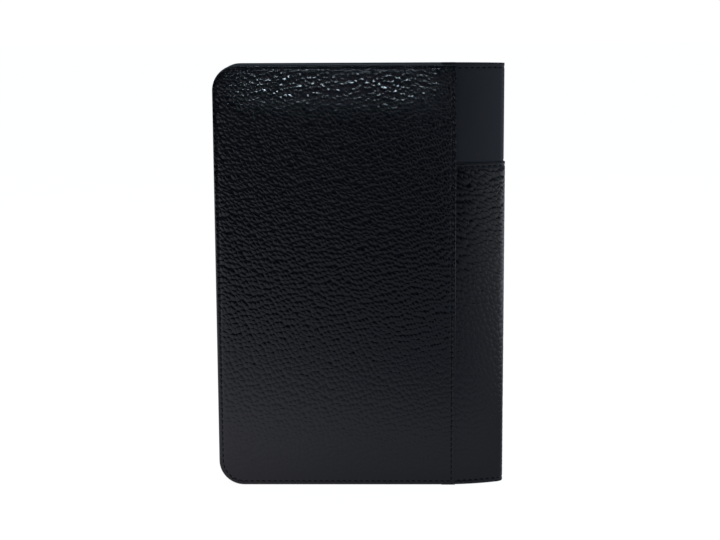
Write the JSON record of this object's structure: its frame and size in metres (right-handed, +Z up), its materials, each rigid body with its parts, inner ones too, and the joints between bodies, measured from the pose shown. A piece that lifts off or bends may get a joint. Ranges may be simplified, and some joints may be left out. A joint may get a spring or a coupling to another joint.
{
  "type": "tablet case",
  "caption": "Book-style grained leather case for a small tablet: hinged covers joined by a rounded spine, framed holder, flap and pockets inside.",
  "frame": {"origin": "centre of the closed case's bottom face", "axes": "+Z up along the long side, +X towards the spine, -Y out of the back cover"},
  "size_m": [0.1424, 0.02, 0.21],
  "materials": {
    "grained_leather": "glossy black pebbled grain",
    "smooth_leather": "satin black smooth",
    "pocket_leather": "fine satin grain",
    "lining": "charcoal microsuede",
    "thread": "bonded black thread",
    "foam": "thin closed-cell padding",
    "board": "grey book board",
    "magnet": "nickel plated"
  },
  "bodies": {
    "back_cover": {"back_panel_leather": "grained_leather", "back_foam": "foam", "back_board": "board", "back_lining": "lining", "back_spine_tab": "grained_leather", "back_edge_stitching": "thread", "back_seam_stitching": "thread", "holder_side_wall_lower": "smooth_leather", "holder_side_wall_upper": "smooth_leather", "holder_spine_wall": "smooth_leather", "holder_bottom_wall_outer": "smooth_leather", "holder_bottom_wall_inner": "smooth_leather", "bezel_stiffener": "board", "bezel_leather": "smooth_leather", "bezel_stitching": "thread", "bezel_magnets": "magnet"},
    "top_flap": {"top_flap_lining": "lining", "top_flap_stiffener": "board", "top_flap_leather": "smooth_leather"},
    "spine_back": {"spine_back_overlay": "grained_leather", "spine_back_base": "smooth_leather", "spine_back_lining": "lining", "spine_back_stitching": "thread"},
    "spine_front": {"spine_front_overlay": "grained_leather", "spine_front_base": "smooth_leather", "spine_front_lining": "lining", "spine_front_stitching": "thread"},
    "front_cover": {"front_panel_leather": "grained_leather", "front_foam": "foam", "front_board": "board", "front_lining": "lining", "front_spine_tab": "grained_leather", "front_edge_stitching": "thread", "front_seam_stitching": "thread", "front_magnets": "magnet", "slip_pocket": "pocket_leather", "card_slot_1": "pocket_leather", "card_slot_2": "pocket_leather", "card_slot_3": "pocket_leather", "pocket_stitching": "thread"}
  },
  "joints": [
    {"name": "back_fold", "type": "hinge", "parent": "back_cover", "child": "spine_back", "pos_m": [0.04715, -0.0091, 0.105], "axis": [0, 0, -1], "range_deg": [0, 39]},
    {"name": "cover_opening", "type": "hinge", "parent": "spine_back", "child": "spine_front", "pos_m": [0.07142, 0, 0.105], "axis": [0, 0, -1], "range_deg": [0, 262]},
    {"name": "front_fold", "type": "hinge", "parent": "spine_front", "child": "front_cover", "pos_m": [0.04715, 0.0091, 0.105], "axis": [0, 0, -1], "range_deg": [0, 39]},
    {"name": "flap_lift", "type": "hinge", "parent": "back_cover", "child": "top_flap", "pos_m": [-0.0112, -0.00685, 0.2053], "axis": [1, 0, 0], "range_deg": [0, 90]}
  ],
  "couplings": [
    {"joint": "back_fold", "follows": "cover_opening", "ratio": 0.148},
    {"joint": "front_fold", "follows": "cover_opening", "ratio": 0.148}
  ]
}
